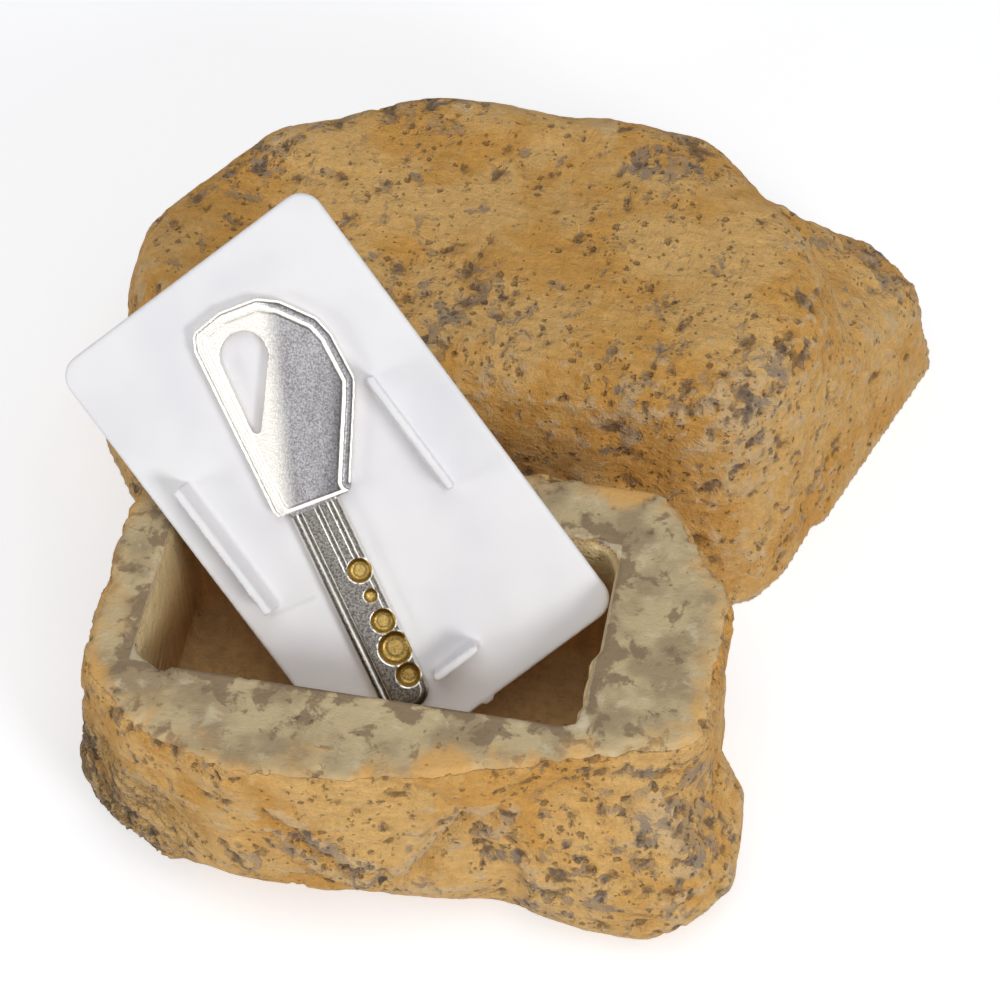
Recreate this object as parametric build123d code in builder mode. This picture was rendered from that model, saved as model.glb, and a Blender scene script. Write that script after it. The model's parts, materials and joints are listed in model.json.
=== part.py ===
from build123d import *
from math import cos, radians, sin
import os

# A cast stone in two halves, with a key compartment, its cover plate and a key.
# The origin is on the floor under the middle of the compartment.
# X runs along the compartment, Y points to the back, Z points up. Sizes in mm.

# ---- driving dimensions -------------------------------------------------

RIM_HEIGHT = 38.0
MOUTH_LENGTH = 61.6
MOUTH_WIDTH = 30.4
MOUTH_CORNER = 3.5
COMPARTMENT_DEPTH = 27.5
COMPARTMENT_FLOOR_ROUND = 2.0

LOWER_EDGE_WEAR = 7.0
LUMP_EDGE_WEAR = 4.0
UPPER_EDGE_WEAR = 8.0
SHOULDER_EDGE_WEAR = 5.0
RIM_EDGE_WEAR = 0.8

RECESS_LENGTH = 73.5
RECESS_WIDTH = 45.0
RECESS_DEPTH = 3.0
RECESS_CORNER = 4.0
RECESS_MIDDLE = (2.0, 67.0)

PLATE_LENGTH = 71.9
PLATE_WIDTH = 43.0
PLATE_THICKNESS = 1.6
PLATE_CORNER = 3.2
PLATE_EDGE_ROUND = 0.4

# The plate leans on the mouth's back and left edges. Its plane is laid through a
# point of the back edge, and its middle is measured from there, level and uphill.
PLATE_SLOPE = 44.0
PLATE_LEAN_TURN = 9.4
PLATE_TURN = -52.7
PLATE_RIM_GAP = 0.3
PLATE_REST_X = 23.1
PLATE_MIDDLE_LEVEL = -31.4
PLATE_MIDDLE_UPHILL = 6.7

TAB_THICKNESS = 1.2
TAB_HEIGHT = 6.0
TAB_SPRING = 0.8
TAB_ROOTS_OUTSIDE = 30.0
TAB_PAIR_OFFSET = -2.1
LEFT_TAB_SPAN = (-13.1, 8.0)
RIGHT_TAB_SPAN = (-9.8, 9.0)
END_TAB_LENGTH = 7.5
END_TAB_INSET = 7.4
END_TAB_OFFSET = -0.9
NIB_WIDTH = 1.6
NIB_THICKNESS = 0.8
NIB_STANDOUT = 0.5
NIB_OFFSET = -0.9

KEY_THICKNESS = 2.3
KEY_CLEARANCE = 0.1
KEY_TURN = -11.5
KEY_SHOULDER = (0.2, -3.9)
BOW_CORNER_ROUND = 1.0
BORDER_WIDTH = 1.2
PANEL_DEPTH = 0.25
BLADE_WIDTH = 7.2
BLADE_LENGTH = 31.0
BLADE_ROOT = 1.5
BLADE_TIP_ROUND = 2.8
BLADE_BEVEL = 0.5
GROOVE_DEPTH = 0.35
DIMPLE_TAPER = 35.0

# ---- the stones' flat faces ----------------------------------------------

# Each face is its compass angle from +X, its upward tilt and its distance
# from the stone's middle, in degrees, degrees and mm.

LOWER_MIDDLE = (0, 0, 19)
LOWER_FACES = [
    (180, 3, 39.3),
    (225, 6, 40.6),
    (252, 1, 34.4),
    (275, 3, 30.6),
    (288, 2, 30.2),
    (0, 0, 47.8),
    (32, 3, 46.4),
    (90, 6, 28.2),
    (140, 6, 41.0),
    (190, -42, 36.5),
    (232, -42, 35.4),
    (270, -45, 27.2),
]

LUMP_MIDDLE = (38, -14, 12)
LUMP_FACES = [
    (-88, 0, 13.2),
    (-42, 0, 15.0),
    (0, 0, 15.0),
    (50, 8, 15.6),
    (180, 0, 20.0),
    (-128, 6, 18.3),
    (-86, 27, 13.2),
    (-8, 32, 13.8),
    (-100, -42, 14.3),
    (-30, -42, 13.6),
]

UPPER_MIDDLE = (0, 70, 20)
UPPER_FACES = [
    (-90, 85, 21.9),
    (-90, 9, 31.2),
    (-34, 10, 54.6),
    (-18, 6, 56.2),
    (14, 25, 53.2),
    (46, 12, 42.8),
    (88, 12, 28.6),
    (114, 12, 30.0),
    (143, 12, 38.8),
    (178, 10, 51.2),
    (-145, 12, 52.0),
    (90, 50, 38.2),
    (125, 50, 39.2),
]

SHOULDER_MIDDLE = (50, 78, 12)
SHOULDER_FACES = [
    (-21, 7, 14.2),
    (8, 8, 20.2),
    (50, 14, 19.8),
    (12, 63, 15.8),
    (95, 12, 17.0),
    (180, 0, 20.0),
    (-90, 0, 26.0),
]

# Each worn hollow is its place on a face, its compass angle and upward tilt, the
# radius of its round bottom and its depth, in mm and degrees.

LOWER_HOLLOWS = [
    ((15.5, -27.0, 20.0), -72, 2, 12.0, 2.6),
    ((3.0, -30.2, 9.0), -85, -25, 13.0, 1.8),
    ((-10.0, -31.2, 25.0), -85, 3, 26.0, 1.0),
    ((-25.0, -28.0, 19.0), -108, 1, 22.0, 1.2),
    ((28.0, -22.4, 31.0), -72, 2, 16.0, 1.1),
    ((47.8, 8.0, 22.0), 0, 0, 22.0, 1.3),
    ((33.0, 27.0, 17.0), 78, 4, 22.0, 1.3),
    ((10.0, 28.4, 22.0), 90, 6, 26.0, 1.2),
    ((-20.0, 28.4, 17.0), 90, 6, 24.0, 1.3),
    ((-39.4, -2.0, 17.0), 185, -4, 24.0, 1.2),
    ((-35.5, -22.5, 22.0), -135, 6, 18.0, 1.1),
]

UPPER_HOLLOWS = [
    ((-32.0, 71.0, 42.1), -90, 85, 40.0, 1.1),
    ((-4.0, 60.0, 41.1), -90, 85, 44.0, 1.0),
    ((13.0, 82.0, 43.0), -90, 85, 44.0, 1.2),
    ((31.0, 63.0, 41.4), -90, 85, 36.0, 1.0),
    ((-13.0, 86.0, 43.3), -90, 85, 34.0, 0.9),
    ((-25.0, 38.4, 20.0), -90, 9, 26.0, 1.2),
    ((4.0, 38.5, 21.0), -90, 9, 28.0, 1.2),
    ((29.0, 38.6, 21.0), -90, 9, 22.0, 1.4),
    ((56.4, 56.0, 17.0), -20, 7, 20.0, 1.3),
    ((61.0, 82.0, 24.0), 12, 63, 20.0, 1.0),
    ((13.0, 98.4, 22.0), 88, 12, 26.0, 1.2),
    ((-21.0, 94.0, 19.0), 114, 12, 24.0, 1.2),
    ((-40.0, 84.0, 18.0), 143, 12, 22.0, 1.2),
    ((-52.0, 60.0, 20.0), 178, 10, 24.0, 1.2),
]

RAW_BLOCK = 200.0
BURIED_DEPTH = 12.0
RAISED_HEIGHT = 60.0


def outward_way(compass, tilt):
    """The direction of a compass angle and an upward tilt."""
    turn, rise = radians(compass), radians(tilt)
    return Vector(cos(turn) * cos(rise), sin(turn) * cos(rise), sin(rise))


def face_plane(middle, compass, tilt, reach):
    """The plane of one flat face, looking away from the stone's middle."""
    outward = outward_way(compass, tilt)
    return Plane(origin=Vector(*middle) + outward * reach, z_dir=outward)


def hollow_middles(hollows):
    """Each hollow's ball radius with the ball's middle, which lies out in front."""
    return [
        (ball, Vector(*spot) + outward_way(compass, tilt) * (ball - depth))
        for spot, compass, tilt, ball, depth in hollows
    ]


def worn_block(middle, faces, wear):
    """A block cut to its flat faces, with its edges worn round."""
    with BuildPart() as block:
        with Locations(middle):
            Box(RAW_BLOCK, RAW_BLOCK, RAW_BLOCK)
        for compass, tilt, reach in faces:
            split(bisect_by=face_plane(middle, compass, tilt, reach), keep=Keep.BOTTOM)
        split(bisect_by=Plane.XY.offset(RAISED_HEIGHT), keep=Keep.BOTTOM)
        split(bisect_by=Plane.XY.offset(-BURIED_DEPTH), keep=Keep.TOP)
        fillet(block.edges(), radius=wear)
    return block.part


# ---- lower stone: the half with the key compartment ----------------------

with BuildPart() as lower_stone:
    add(worn_block(LOWER_MIDDLE, LOWER_FACES, LOWER_EDGE_WEAR))
    add(worn_block(LUMP_MIDDLE, LUMP_FACES, LUMP_EDGE_WEAR))
    split(bisect_by=Plane.XY.offset(RIM_HEIGHT), keep=Keep.BOTTOM)
    split(bisect_by=Plane.XY, keep=Keep.TOP)
    fillet(lower_stone.faces().sort_by(Axis.Z)[-1].edges(), radius=RIM_EDGE_WEAR)
    with BuildSketch(Plane.XY.offset(RIM_HEIGHT)):
        RectangleRounded(MOUTH_LENGTH, MOUTH_WIDTH, MOUTH_CORNER)
    extrude(amount=-COMPARTMENT_DEPTH, mode=Mode.SUBTRACT)
    floor_edges = lower_stone.edges().filter_by_position(
        Axis.Z, RIM_HEIGHT - COMPARTMENT_DEPTH, RIM_HEIGHT - COMPARTMENT_DEPTH
    )
    fillet(floor_edges, radius=COMPARTMENT_FLOOR_ROUND)
    for ball, middle in hollow_middles(LOWER_HOLLOWS):
        with Locations(middle):
            Sphere(ball, mode=Mode.SUBTRACT)

lower_stone.part.label = "lower_stone"

# ---- upper stone: the half that caps the compartment ---------------------

with BuildPart() as upper_stone:
    add(worn_block(UPPER_MIDDLE, UPPER_FACES, UPPER_EDGE_WEAR))
    add(worn_block(SHOULDER_MIDDLE, SHOULDER_FACES, SHOULDER_EDGE_WEAR))
    split(bisect_by=Plane.XY, keep=Keep.TOP)
    with BuildSketch(Plane.XY):
        with Locations(RECESS_MIDDLE):
            RectangleRounded(RECESS_LENGTH, RECESS_WIDTH, RECESS_CORNER)
    extrude(amount=RECESS_DEPTH, mode=Mode.SUBTRACT)
    for ball, middle in hollow_middles(UPPER_HOLLOWS):
        with Locations(middle):
            Sphere(ball, mode=Mode.SUBTRACT)

upper_stone.part.label = "upper_stone"

# ---- cover plate, leaning in the compartment with its tabs showing -------

slope = radians(PLATE_SLOPE)
lean = radians(PLATE_LEAN_TURN)
turn = radians(PLATE_TURN)
plate_normal = Vector(sin(slope) * sin(lean), -sin(slope) * cos(lean), cos(slope))
level = Vector(cos(lean), sin(lean), 0)
uphill = plate_normal.cross(level)
plate_length_way = level * cos(turn) + uphill * sin(turn)
plate_rest = Vector(PLATE_REST_X, MOUTH_WIDTH / 2, RIM_HEIGHT)
plate_middle = (
    plate_rest
    + plate_normal * (PLATE_RIM_GAP + PLATE_THICKNESS)
    + level * PLATE_MIDDLE_LEVEL
    + uphill * PLATE_MIDDLE_UPHILL
)
# On the plate's upper face, x runs down along its length and y across it.
plate_face = Plane(origin=plate_middle, x_dir=plate_length_way, z_dir=plate_normal)


def tab_section(side):
    """Corners of a side tab's section, sprung outwards towards its tip."""
    root = TAB_PAIR_OFFSET + side * TAB_ROOTS_OUTSIDE / 2
    inward = -side * TAB_THICKNESS
    tip = root + side * TAB_SPRING
    return [
        (root + inward, -PLATE_THICKNESS / 2),
        (root, -PLATE_THICKNESS / 2),
        (tip, TAB_HEIGHT),
        (tip + inward, TAB_HEIGHT),
    ]


with BuildPart() as cover_plate:
    with BuildSketch(plate_face):
        RectangleRounded(PLATE_LENGTH, PLATE_WIDTH, PLATE_CORNER)
    extrude(amount=-PLATE_THICKNESS)
    fillet(cover_plate.faces().filter_by(plate_face).edges(), radius=PLATE_EDGE_ROUND)
    for side, (start, end) in ((-1, LEFT_TAB_SPAN), (1, RIGHT_TAB_SPAN)):
        tab_start = plate_face.from_local_coords((start, 0, 0))
        tab_plane = Plane(tab_start, x_dir=plate_face.y_dir, z_dir=plate_length_way)
        with BuildSketch(tab_plane):
            with BuildLine():
                Polyline(*tab_section(side), close=True)
            make_face()
        extrude(amount=end - start, dir=plate_length_way)
    with BuildSketch(plate_face):
        with Locations((PLATE_LENGTH / 2 - END_TAB_INSET, END_TAB_OFFSET)):
            SlotOverall(END_TAB_LENGTH, TAB_THICKNESS, rotation=90)
    extrude(amount=TAB_HEIGHT)
    with BuildSketch(plate_face.offset(-(PLATE_THICKNESS + NIB_THICKNESS) / 2)):
        with Locations((PLATE_LENGTH / 2, NIB_OFFSET)):
            Rectangle(2 * NIB_STANDOUT, NIB_WIDTH)
    extrude(amount=NIB_THICKNESS)

cover_plate.part.label = "cover_plate"

# ---- key: flat bow with a raised border, dimpled blade -------------------

key_turn = radians(KEY_TURN)
key_way = plate_length_way * cos(key_turn) + plate_face.y_dir * sin(key_turn)
key_rest = plate_face.from_local_coords((*KEY_SHOULDER, KEY_CLEARANCE))
key_foot = Plane(origin=key_rest, x_dir=key_way, z_dir=plate_normal)
key_face = key_foot.offset(KEY_THICKNESS)

# The bow's corners, from the shoulder round the back: along the key, across it.
BOW_CORNERS = [
    (0.0, 5.3),
    (-11.5, 11.5),
    (-13.8, 12.6),
    (-20.6, 12.3),
    (-23.4, 11.4),
    (-27.6, 7.8),
    (-29.3, 5.0),
    (-29.7, -0.4),
    (-28.6, -4.9),
    (-26.2, -5.7),
    (-0.9, -5.4),
]

# The teardrop hole is drawn round a large and a small circle.
HOLE_ROUNDS = [((-22.9, 0.2), 3.3), ((-13.1, -2.6), 0.6)]

# Dimples on the blade: distance from the shoulder, offset across, radius, depth.
DIMPLES = [
    (10.4, 1.85, 1.75, 0.7),
    (14.2, 1.75, 1.0, 0.5),
    (18.1, 1.8, 1.75, 0.7),
    (22.2, 1.7, 2.4, 0.9),
    (26.3, 1.75, 1.75, 0.8),
]

# Grooves along the blade: offset across, width, length from the shoulder.
GROOVES = [(-2.3, 0.6, 29.0), (0.3, 0.4, 10.0), (2.2, 0.4, 10.0)]

with BuildPart() as key:
    with BuildSketch(key_foot) as blade_outline:
        with Locations(((BLADE_LENGTH - BLADE_ROOT) / 2, 0)):
            Rectangle(BLADE_LENGTH + BLADE_ROOT, BLADE_WIDTH)
        fillet(blade_outline.vertices().group_by(Axis.X)[-1], radius=BLADE_TIP_ROUND)
    extrude(amount=KEY_THICKNESS)
    blade_rims = key.faces().filter_by(key_face).edges()
    chamfer(blade_rims, length=BLADE_BEVEL)
    with BuildSketch(key_foot) as bow_outline:
        with BuildLine():
            Polyline(*BOW_CORNERS, close=True)
        make_face()
        fillet(bow_outline.vertices(), radius=BOW_CORNER_ROUND)
    extrude(amount=KEY_THICKNESS)
    with BuildSketch(key_face) as panel:
        with BuildLine():
            Polyline(*BOW_CORNERS, close=True)
        make_face()
        fillet(panel.vertices(), radius=BOW_CORNER_ROUND)
        offset(amount=-BORDER_WIDTH, mode=Mode.REPLACE)
    extrude(amount=-PANEL_DEPTH, mode=Mode.SUBTRACT)
    with BuildSketch(key_face):
        for middle, radius in HOLE_ROUNDS:
            with Locations(middle):
                Circle(radius)
        make_hull()
    extrude(amount=-KEY_THICKNESS, mode=Mode.SUBTRACT)
    with BuildSketch(key_face):
        for across, width, length in GROOVES:
            with Locations((length / 2, across)):
                Rectangle(length, width)
    extrude(amount=-GROOVE_DEPTH, mode=Mode.SUBTRACT)
    for along, across, radius, depth in DIMPLES:
        with BuildSketch(key_face):
            with Locations((along, across)):
                Circle(radius)
        extrude(amount=-depth, taper=DIMPLE_TAPER, mode=Mode.SUBTRACT)

key.part.label = "key"

os.makedirs("parts", exist_ok=True)
export_step(lower_stone.part, "parts/lower_stone.step")
export_step(upper_stone.part, "parts/upper_stone.step")
export_step(cover_plate.part, "parts/cover_plate.step")
export_step(key.part, "parts/key.step")
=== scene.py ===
"""A cast stone that hides a spare key, open, with its cover plate and the key.

Lengths in the functions are in metres; MM turns millimetres into metres.
"""

import json
import math
import random

import bpy
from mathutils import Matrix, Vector, kdtree, noise


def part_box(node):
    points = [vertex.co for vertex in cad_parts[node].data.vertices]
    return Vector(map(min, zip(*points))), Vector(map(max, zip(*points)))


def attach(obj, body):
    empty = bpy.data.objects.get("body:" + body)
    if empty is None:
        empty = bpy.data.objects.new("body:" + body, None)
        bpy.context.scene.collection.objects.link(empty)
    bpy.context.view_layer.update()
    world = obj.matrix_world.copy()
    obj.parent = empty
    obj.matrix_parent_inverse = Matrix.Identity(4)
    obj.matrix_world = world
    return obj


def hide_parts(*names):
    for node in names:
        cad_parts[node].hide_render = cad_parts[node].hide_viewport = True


bl_info = {
    "name": "Key hiding rock",
    "version": (1, 0, 0),
    "blender": (4, 5, 0),
    "location": "View3D > Sidebar > Key rock",
    "description": "Sculpts and finishes an opened cast stone with its cover plate and key",
    "category": "Add Mesh",
}

MM = 0.001

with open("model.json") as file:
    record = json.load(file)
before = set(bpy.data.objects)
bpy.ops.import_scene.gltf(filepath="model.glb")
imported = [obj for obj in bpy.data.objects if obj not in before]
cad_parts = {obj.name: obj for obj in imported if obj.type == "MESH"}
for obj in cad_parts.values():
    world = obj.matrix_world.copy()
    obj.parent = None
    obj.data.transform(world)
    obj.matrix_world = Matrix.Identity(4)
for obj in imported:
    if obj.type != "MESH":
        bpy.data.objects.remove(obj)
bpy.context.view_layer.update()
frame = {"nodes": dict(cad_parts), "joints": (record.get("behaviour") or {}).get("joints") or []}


def joint_axis(name):
    """The direction of a joint of the frame."""
    for joint in frame["joints"]:
        if joint["name"] == name:
            return Vector(joint["axis"]).normalized()
    raise RuntimeError("the frame has no joint named " + name)


def span(node, direction):
    """The lowest and highest reach of a node along a direction."""
    reaches = [v.co.dot(direction) for v in frame["nodes"][node].data.vertices]
    return min(reaches), max(reaches)


# The plate's own directions: down its length, across it, and out of its upper face.
PLATE_LENGTH_WAY = -joint_axis("cover_plate_slide")
KEY_WAY = -joint_axis("key_slide")
PLATE_NORMAL = KEY_WAY.cross(PLATE_LENGTH_WAY).normalized()
PLATE_WIDTH_WAY = PLATE_NORMAL.cross(PLATE_LENGTH_WAY)
KEY_ACROSS = PLATE_NORMAL.cross(KEY_WAY)

# The key's shoulder, where its bow ends and its blade begins, as a distance along the key.
BLADE_LENGTH = 31.0 * MM
SHOULDER = span("key", KEY_WAY)[1] - BLADE_LENGTH
KEY_TOP = span("key", PLATE_NORMAL)[1]
RIM_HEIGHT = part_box("lower_stone")[1].z


def blade_middle():
    """How far across the key's blade lies, from its straight stretch before the tip."""
    reaches = [
        v.co.dot(KEY_ACROSS)
        for v in frame["nodes"]["key"].data.vertices
        if v.co.dot(KEY_WAY) > SHOULDER + 3 * MM
    ]
    return (min(reaches) + max(reaches)) / 2


BLADE_MIDDLE = blade_middle()


def srgb(red, green, blue):
    """A colour as read off a screen, 0 to 255, as the light values that Blender uses."""
    light = []
    for level in (red, green, blue):
        level /= 255
        light.append(level / 12.92 if level <= 0.04045 else ((level + 0.055) / 1.055) ** 2.4)
    return tuple(light)


def smooth_step(low, high, value):
    """0 below low, 1 above high, with an eased rise between them."""
    t = min(max((value - low) / (high - low), 0.0), 1.0)
    return t * t * (3 - 2 * t)


# ---- sizes and colours that a user may change -----------------------------


def length_setting(name, text, size):
    return bpy.props.FloatProperty(name=name, description=text, default=size, subtype="DISTANCE")


def colour_setting(name, text, colour):
    return bpy.props.FloatVectorProperty(
        name=name, description=text, default=srgb(*colour), subtype="COLOR", min=0, max=1
    )


def angle_setting(name, text, degrees):
    turn = math.radians(degrees)
    return bpy.props.FloatProperty(name=name, description=text, default=turn, subtype="ANGLE")


class KeyRockStone(bpy.types.PropertyGroup):
    """Sizes and colours of the two cast halves."""

    grain: length_setting("Lower grain", "Size of the lower cast's facets", 0.53 * MM)
    upper_grain: length_setting("Upper grain", "Size of the upper cast's facets", 0.56 * MM)
    swell: length_setting("Swell", "Height of the broad swells on the weathered faces", 1.0 * MM)
    lumps: length_setting("Lumps", "Height of the small lumps on the weathered faces", 0.5 * MM)
    pit_depth: length_setting("Pit depth", "Depth of the deepest air pits", 0.75 * MM)
    pits: bpy.props.IntProperty(
        name="Pits", description="Number of air pits in each half", default=1000, min=0
    )
    ochre: colour_setting("Ochre", "The painted face of the cast", (226, 181, 112))
    deep_ochre: colour_setting("Deep ochre", "Where the paint lies thicker", (215, 160, 80))
    # Also the colour of the painted highlight on what stands out, and of the painted light on the
    # sides.
    chalky: colour_setting(
        "Chalky tan", "Paint rubbed pale where the cast stands out", (216, 184, 138)
    )
    worn: colour_setting("Worn grey", "Patches where the grey cast shows", (150, 132, 114))
    # Painted shade: the dark inside of the pits and pores, and between the fibrous ridges.
    pit_shade: colour_setting("Pit brown", "The inside of the pits", (84, 64, 48))
    sanded: colour_setting("Sanded rim", "The flat sanded rim round the mouth", (198, 178, 138))
    sanded_dark: colour_setting("Rim clouds", "Darker clouds on the sanded rim", (132, 111, 86))
    chip: colour_setting("Chip", "The pale bare edge round the mouth", (216, 202, 170))
    stain: colour_setting("Stain", "Ochre paint rubbed into the rim", (222, 168, 90))
    hollow: colour_setting("Compartment", "The top of the compartment's walls", (228, 204, 154))
    # Painted shade: the darker foot of the compartment's walls, and its floor.
    hollow_painted_shade: colour_setting(
        "Compartment floor", "The foot of its walls and its floor", (212, 172, 118)
    )


class KeyRockPlate(bpy.types.PropertyGroup):
    """Sizes and colours of the cover plate."""

    grain: length_setting("Grain", "Size of the facets that the plate is shaped in", 0.36 * MM)
    white: colour_setting("White", "The moulded plate", (238, 237, 239))
    shade: colour_setting("Shade", "Faint clouds in the moulding", (230, 229, 233))
    # The colour of a thin grey line across the plate.
    crease: colour_setting("Crease", "A hairline crease in the plate", (206, 206, 214))


class KeyRockKey(bpy.types.PropertyGroup):
    """Sizes and colours of the key."""

    grain: length_setting("Grain", "Size of the facets that the key is shaped in", 0.2 * MM)
    # Also the colour of the painted highlights on the key's edges, ridges and dimple rims.
    polished: colour_setting("Polished", "Polished nickel", (240, 236, 228))
    brushed: colour_setting("Brushed", "Brushed nickel panel", (134, 132, 134))
    blade: colour_setting("Blade", "The speckled face of the blade", (126, 122, 117))
    # Also the painted shade in the grooves, along the edges, at the border's steps and in the
    # dimples.
    dark: colour_setting("Dark", "Deep grain, grooves and the tip", (74, 70, 66))
    brass: colour_setting("Brass", "The drilled dimples", (150, 124, 66))
    # Painted highlight: the flat bottoms of the dimples.
    bright_brass: colour_setting("Bright brass", "The flat bottoms of the dimples", (178, 150, 88))


class KeyRockStage(bpy.types.PropertyGroup):
    """Floor, light and camera."""

    floor: colour_setting("Floor", "The plain pale floor", (232, 233, 236))
    distance: length_setting("Distance", "From the camera to the middle of the object", 0.45)
    lens: bpy.props.FloatProperty(
        name="Lens", description="Focal length in mm", default=111.07, subtype="DISTANCE_CAMERA"
    )
    azimuth: angle_setting("Azimuth", "Turn of the view", 10.36)
    elevation: angle_setting("Elevation", "Height of the view", 52)


# ---- shaping --------------------------------------------------------------


def select_only(piece):
    """Makes a piece the only selected object, and the active one."""
    bpy.ops.object.select_all(action="DESELECT")
    piece.select_set(True)
    bpy.context.view_layer.objects.active = piece


def copy_of(node, name):
    """A new piece with its own merged copy of a CAD node's mesh."""
    piece = bpy.data.objects.new(name, frame["nodes"][node].data.copy())
    bpy.context.scene.collection.objects.link(piece)
    piece.data.name = name
    piece.data.materials.clear()
    select_only(piece)
    bpy.ops.object.mode_set(mode="EDIT")
    bpy.ops.mesh.select_all(action="SELECT")
    bpy.ops.mesh.remove_doubles(threshold=0.005 * MM)
    bpy.ops.object.mode_set(mode="OBJECT")
    return piece


def modify(piece, kind, **settings):
    """Adds a modifier with its settings and applies it."""
    select_only(piece)
    modifier = piece.modifiers.new(kind.lower(), kind)
    for setting, value in settings.items():
        setattr(modifier, setting, value)
    bpy.ops.object.modifier_apply(modifier=modifier.name)


# How often the plate and the key are smoothed, which rounds their edges a little.
EDGE_ROUNDS = 2
# How far an applied smoothing moves each point towards its neighbours, each time.
SMOOTHING = 0.5


def smooth(piece, times, group=""):
    """Smooths a piece, only where the group has weight if one is named."""
    modify(piece, "SMOOTH", factor=SMOOTHING, iterations=times, vertex_group=group)


def refine(piece, grain):
    """Rebuilds a piece's mesh in even facets of the given size."""
    modify(piece, "REMESH", mode="VOXEL", voxel_size=grain, adaptivity=0.0, use_smooth_shade=True)


def keep_level(piece, name, levels):
    """Stores a level from 0 to 1 for each point of a piece, for its finish."""
    layer = piece.data.attributes.new(name, "FLOAT", "POINT")
    layer.data.foreach_set("value", levels)
    return levels


# The steps to which a group's weights are rounded.
WEIGHT_STEPS = 20


def group_from(piece, name, levels):
    """A vertex group with the given weights, for the modifiers."""
    group = piece.vertex_groups.new(name=name)
    steps = {}
    for index, level in enumerate(levels):
        steps.setdefault(round(level * WEIGHT_STEPS) / WEIGHT_STEPS, []).append(index)
    for weight, indices in steps.items():
        group.add(indices, weight, "REPLACE")
    return name


def clouds(name, size, depth):
    """A cloud pattern of the given size for the displacement."""
    pattern = bpy.data.textures.new(name, "CLOUDS")
    pattern.noise_scale = size
    pattern.noise_depth = depth
    return pattern


# The level of a cloud pattern that leaves a face where it is. Above one half it sinks the rest.
STILL_LEVEL = 0.6


def raise_by(piece, pattern, height, group):
    """Raises a piece's faces by a pattern, where the group has weight."""
    modify(
        piece,
        "DISPLACE",
        texture=pattern,
        texture_coords="LOCAL",
        direction="NORMAL",
        strength=height,
        mid_level=STILL_LEVEL,
        vertex_group=group,
    )


def point_finder(piece):
    """A finder of the piece's points near a place."""
    finder = kdtree.KDTree(len(piece.data.vertices))
    for v in piece.data.vertices:
        finder.insert(v.co, v.index)
    finder.balance()
    return finder


def press(piece, dents):
    """Presses dents into a piece, or swells it where the depth is negative."""
    finder = point_finder(piece)
    points = piece.data.vertices
    for place, reach, depth in dents:
        spot = finder.find(Vector(place) * MM)[0]
        near = finder.find_range(spot, reach * MM)
        moves = []
        for _, index, distance in near:
            ease = (1 - (distance / (reach * MM)) ** 2) ** 2
            moves.append((index, points[index].normal * (-depth * MM * ease)))
        for index, move in moves:
            points[index].co += move
    piece.data.update()


def line_finder(piece, line, spacing):
    """A finder of places along a line, each laid on the nearest point of a piece."""
    surface = point_finder(piece)
    steps = []
    for start, end in zip(line, line[1:]):
        start, end = Vector(start), Vector(end)
        count = max(int((end - start).length / spacing), 1)
        steps += [start.lerp(end, i / count) for i in range(count)]
    steps.append(Vector(line[-1]))
    finder = kdtree.KDTree(len(steps))
    for number, place in enumerate(steps):
        finder.insert(surface.find(place * MM)[0], number)
    finder.balance()
    return finder


def crease(piece, line, width, depth):
    """Cuts a crease along a line of places, deepest at its middle."""
    finder = line_finder(piece, line, width * 0.3)
    moves = []
    for v in piece.data.vertices:
        distance = finder.find(v.co)[2]
        if distance < width * MM:
            ease = 1 - distance / (width * MM)
            moves.append((v.index, v.normal * (-depth * MM * ease * ease)))
    for index, move in moves:
        piece.data.vertices[index].co += move
    piece.data.update()


# A ledge's proud side and its cut side, as shares of its depth, and how its edge wanders, in mm.
LEDGE_PROUD, LEDGE_CUT = 0.45, 1.0
LEDGE_WANDER, WANDER_SIZE = 0.5, 1.5


def ledge(piece, line, out_way, width, depth):
    """Steps a face along a line: it stands out on one side and is cut back on the other."""
    finder = line_finder(piece, line, width * 0.2)
    way = Vector(out_way).normalized()
    moves = []
    for v in piece.data.vertices:
        place, _, distance = finder.find(v.co)
        if distance < width * MM:
            fade = (1 - (distance / (width * MM)) ** 2) ** 2
            wander = LEDGE_WANDER * noise.noise(v.co / (WANDER_SIZE * MM))
            side = (v.co - place).dot(way) / MM + wander
            step = LEDGE_PROUD - (LEDGE_PROUD + LEDGE_CUT) * (1 - smooth_step(-0.5, 0.3, side))
            moves.append((v.index, v.normal * (depth * MM * fade * step)))
    for index, move in moves:
        piece.data.vertices[index].co += move
    piece.data.update()


def roughen(piece, height_at):
    """Raises each point along its normal by its own height, in millimetres."""
    lifts = [v.normal * (height_at(v) * MM) for v in piece.data.vertices]
    for v, lift in zip(piece.data.vertices, lifts):
        v.co += lift
    piece.data.update()


def standing_out(piece, times):
    """How far each point stands out of the piece's own smoothed shape, in millimetres."""
    smoothed = bpy.data.objects.new("smoothed", piece.data.copy())
    bpy.context.scene.collection.objects.link(smoothed)
    smooth(smoothed, times)
    pairs = zip(piece.data.vertices, smoothed.data.vertices)
    heights = [(v.co - flat.co).dot(v.normal) / MM for v, flat in pairs]
    mesh = smoothed.data
    bpy.data.objects.remove(smoothed)
    bpy.data.meshes.remove(mesh)
    return heights


# How much rarer large pits are, how shallow the smallest is, and how ragged and long they are.
PIT_RARITY = 2.5
SHALLOWEST = 0.4
RAGGEDNESS, RAG_SIZE = 0.6, 0.8
LONG_SHARE = 0.5


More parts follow.
